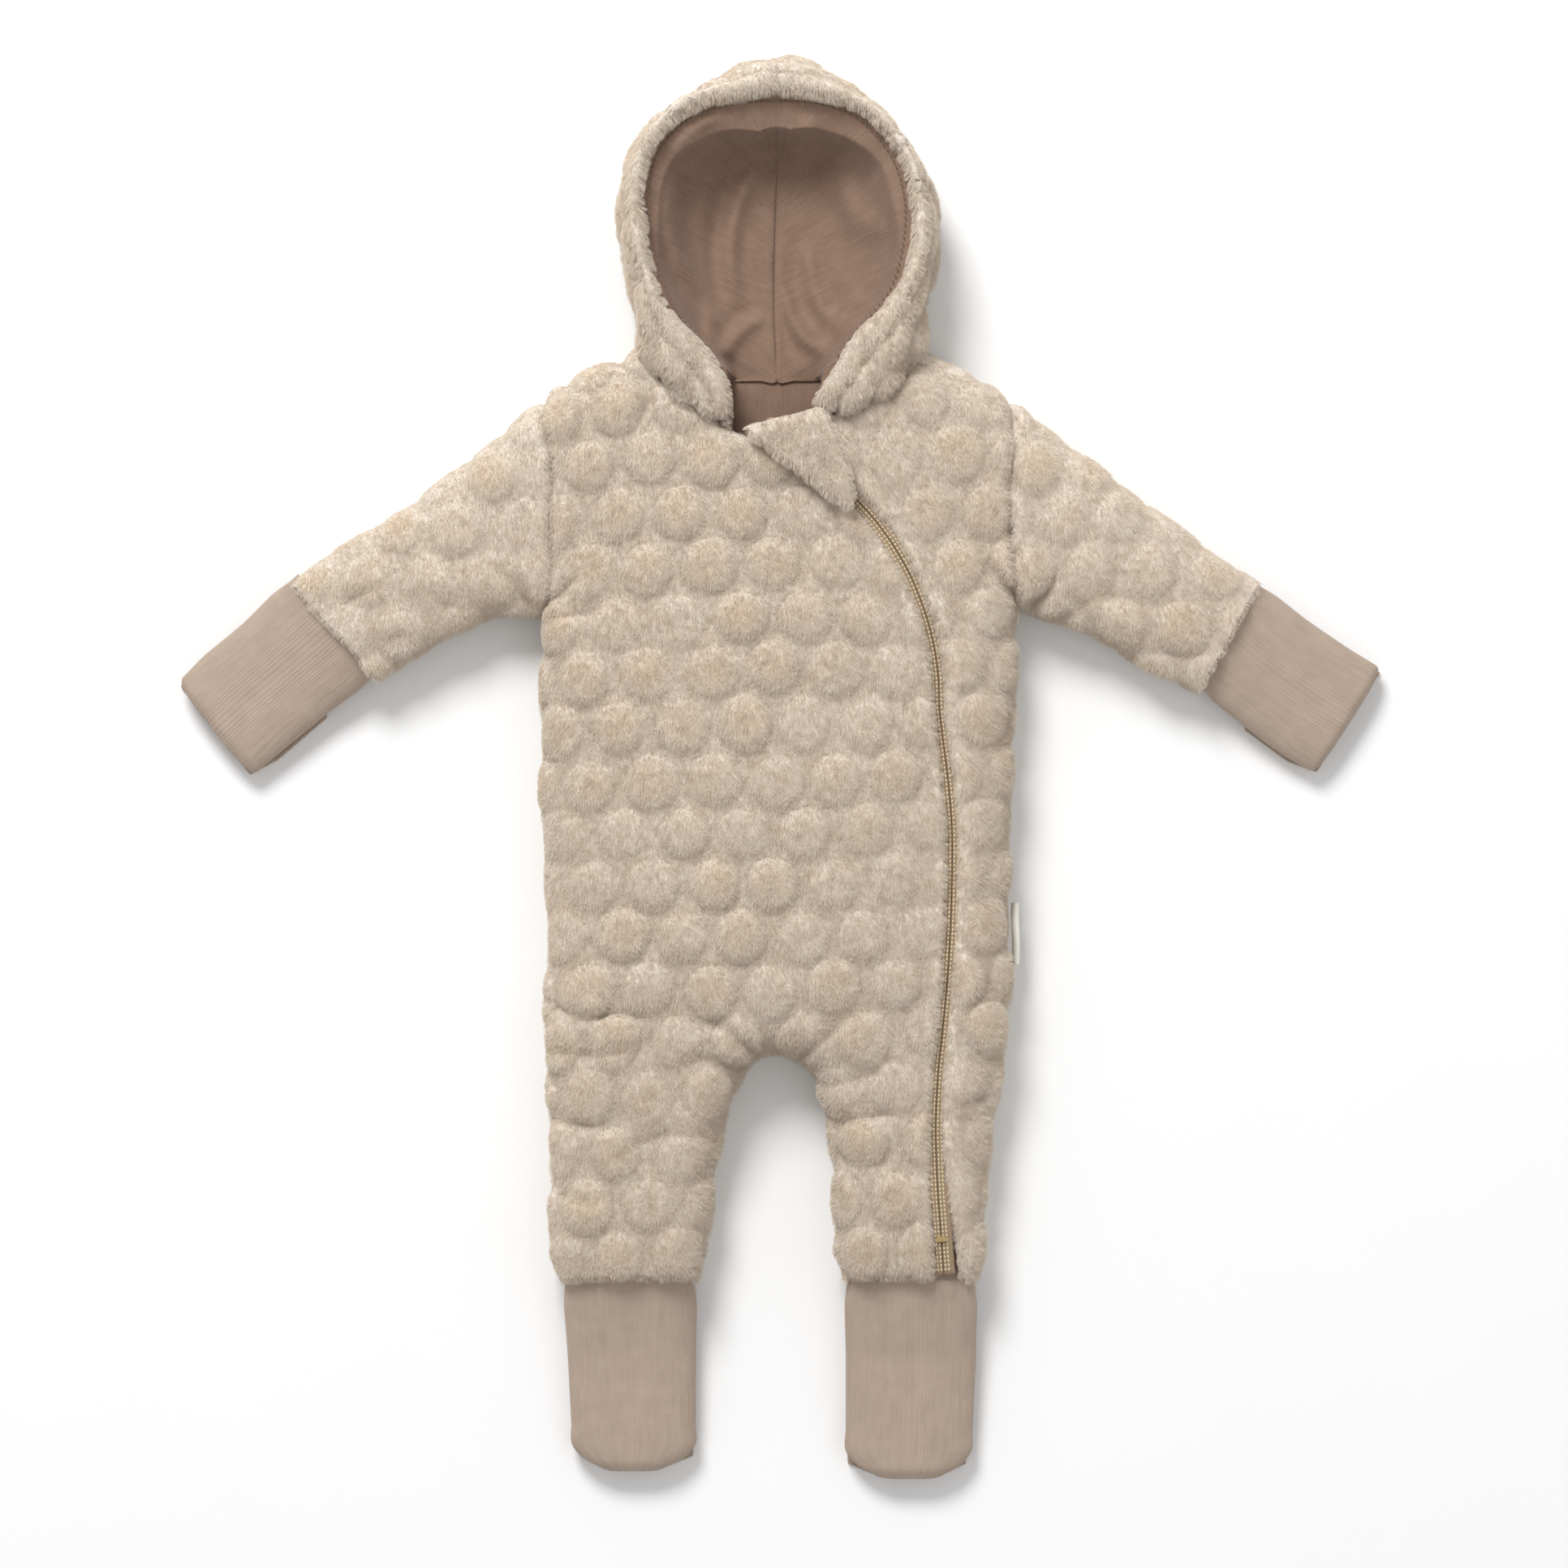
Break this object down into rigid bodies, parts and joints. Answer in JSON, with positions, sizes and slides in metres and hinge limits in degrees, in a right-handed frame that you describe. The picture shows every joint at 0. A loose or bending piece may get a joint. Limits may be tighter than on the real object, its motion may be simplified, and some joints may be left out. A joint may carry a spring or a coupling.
{
  "type": "hooded plush overall",
  "caption": "Baby's hooded plush overall with jersey lining, an asymmetric curved front zip and turn-over jersey cuffs, lying flat.",
  "frame": {"origin": "centre of the bounding box on the plane that the garment's back lies on", "axes": "+Z out of the garment's front, away from the table; +Y from the feet to the hood; +X towards the wearer's left"},
  "size_m": [0.6003, 0.7034, 0.0602],
  "materials": {
    "plush": "matte deep-pile fleece with round raised dots",
    "cuff_jersey": "matte double jersey",
    "lining_jersey": "matte fine jersey",
    "zip_tape": "woven tape",
    "zip_coil": "satin nylon coil",
    "zip_metal": "satin",
    "label_ribbon": "satin woven ribbon"
  },
  "bodies": {
    "garment": {"front_panel_right": "plush", "front_panel_left": "plush", "back_panel": "plush", "front_lining_right": "lining_jersey", "front_lining_left": "lining_jersey", "back_lining": "lining_jersey", "foot_cuff_right": "cuff_jersey", "foot_cuff_left": "cuff_jersey", "zip_tape_right": "zip_tape", "zip_tape_left": "zip_tape", "zip_coil_right": "zip_coil", "zip_coil_left": "zip_coil", "zip_top_stop_right": "zip_metal", "zip_top_stop_left": "zip_metal", "zip_bottom_stop": "zip_metal"},
    "hood": {"hood_shell_right": "plush", "hood_shell_left": "plush", "hood_lining_right": "lining_jersey", "hood_lining_left": "lining_jersey"},
    "right_sleeve": {"sleeve_right": "plush", "sleeve_lining_right": "lining_jersey", "hand_cuff_right": "cuff_jersey"},
    "left_sleeve": {"sleeve_left": "plush", "sleeve_lining_left": "lining_jersey", "hand_cuff_left": "cuff_jersey"},
    "right_mitten": {"mitten_flap_right": "cuff_jersey"},
    "left_mitten": {"mitten_flap_left": "cuff_jersey"},
    "right_bootie": {"bootie_flap_right": "cuff_jersey"},
    "left_bootie": {"bootie_flap_left": "cuff_jersey"},
    "slider": {"zip_slider": "zip_metal"},
    "pull_tab": {"zip_pull": "zip_metal"},
    "guard": {"chin_guard": "plush", "chin_guard_lining": "lining_jersey"},
    "label": {"side_label": "label_ribbon"}
  },
  "joints": [
    {"name": "hood_fold", "type": "hinge", "parent": "garment", "child": "hood", "pos_m": [0, 0.215, 0.012], "axis": [1, 0, 0], "range_deg": [0, 75], "deforming": ["hood_shell_right", "hood_shell_left", "hood_lining_right", "hood_lining_left"]},
    {"name": "sleeve_right_swing", "type": "hinge", "parent": "garment", "child": "right_sleeve", "pos_m": [-0.1143, 0.1355, 0.02], "axis": [0, 0, -1], "range_deg": [-20, 30], "deforming": ["sleeve_right", "sleeve_lining_right"]},
    {"name": "sleeve_left_swing", "type": "hinge", "parent": "garment", "child": "left_sleeve", "pos_m": [0.1144, 0.133, 0.02], "axis": [0, 0, 1], "range_deg": [-20, 30], "deforming": ["sleeve_left", "sleeve_lining_left"]},
    {"name": "mitten_right_turn", "type": "hinge", "parent": "right_sleeve", "child": "right_mitten", "pos_m": [-0.28204, 0.01956, 0.0009], "axis": [-0.6177, 0.7864, 0], "range_deg": [0, 265]},
    {"name": "mitten_left_turn", "type": "hinge", "parent": "left_sleeve", "child": "left_mitten", "pos_m": [0.28381, 0.02375, 0.0009], "axis": [-0.5381, -0.8429, 0], "range_deg": [0, 265]},
    {"name": "bootie_right_turn", "type": "hinge", "parent": "garment", "child": "right_bootie", "pos_m": [-0.073, -0.3482, 0.0009], "axis": [-1, 0, 0], "range_deg": [0, 265]},
    {"name": "bootie_left_turn", "type": "hinge", "parent": "garment", "child": "left_bootie", "pos_m": [0.064, -0.352, 0.0009], "axis": [-1, 0, 0], "range_deg": [0, 265]},
    {"name": "zip_travel", "type": "hinge", "parent": "garment", "child": "slider", "pos_m": [-0.063, 0.034, 0.042], "axis": [0, 0, -1], "range_deg": [0, 65]},
    {"name": "zip_pull_flip", "type": "hinge", "parent": "slider", "child": "pull_tab", "pos_m": [-0.00456, 0.16288, 0.045], "axis": [-0.4226, -0.9063, 0], "range_deg": [0, 150]},
    {"name": "chin_guard_lift", "type": "hinge", "parent": "garment", "child": "guard", "pos_m": [0.009, 0.1489, 0.0535], "axis": [0.7991, -0.6012, 0], "range_deg": [0, 150], "deforming": ["chin_guard", "chin_guard_lining"]},
    {"name": "side_label_bend", "type": "hinge", "parent": "garment", "child": "label", "pos_m": [0.1145, -0.0804, 0.0187], "axis": [0, 1, 0], "range_deg": [-60, 60], "stiffness_Nm_per_rad": 0.00004}
  ]
}
